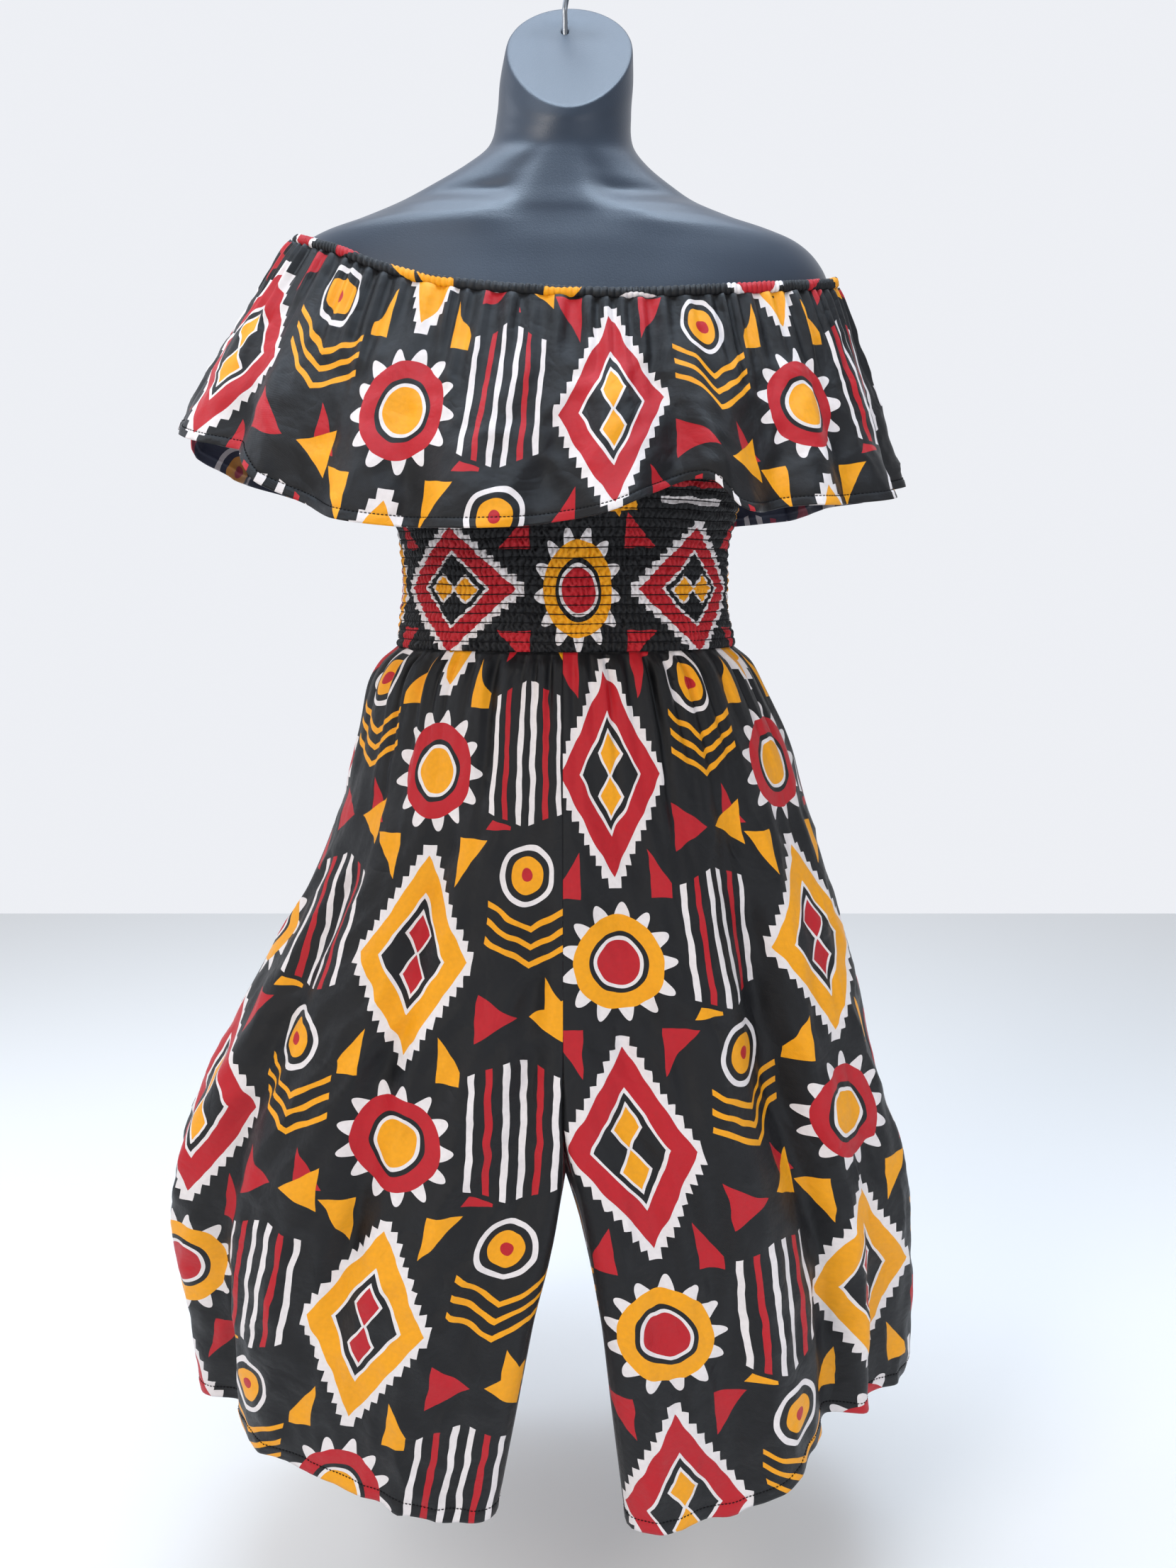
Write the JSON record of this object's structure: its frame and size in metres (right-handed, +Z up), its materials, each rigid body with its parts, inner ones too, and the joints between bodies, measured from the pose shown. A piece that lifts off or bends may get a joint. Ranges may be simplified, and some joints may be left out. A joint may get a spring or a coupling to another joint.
{
  "type": "ruffle jumpsuit on a hanging torso form",
  "caption": "Off-shoulder jumpsuit with a deep gathered ruffle, smocked waist and wide gathered legs, on a limbless torso form with a wire hook.",
  "frame": {"origin": "the underside of the hook's crown, where the rail bears", "axes": "+Z up, the front towards -Y, +X to the wearer's left"},
  "size_m": [0.6678, 0.3836, 1.2753],
  "materials": {
    "form_plastic": "dark slate satin moulded plastic",
    "hook_wire": "bright drawn steel wire",
    "printed_cotton": "plain-woven cotton printed black, red, yellow and white",
    "smocked_cotton": "the same printed cotton gathered on rows of black elastic thread"
  },
  "bodies": {
    "root": {"torso_form": "form_plastic", "hook": "hook_wire", "neck_casing": "printed_cotton", "ruffle_front": "printed_cotton", "ruffle_back": "printed_cotton", "bodice_front": "printed_cotton", "bodice_back": "printed_cotton", "smock_front": "smocked_cotton", "smock_back": "smocked_cotton", "leg_right_front": "printed_cotton", "leg_right_back": "printed_cotton", "leg_left_front": "printed_cotton", "leg_left_back": "printed_cotton"}
  },
  "joints": []
}
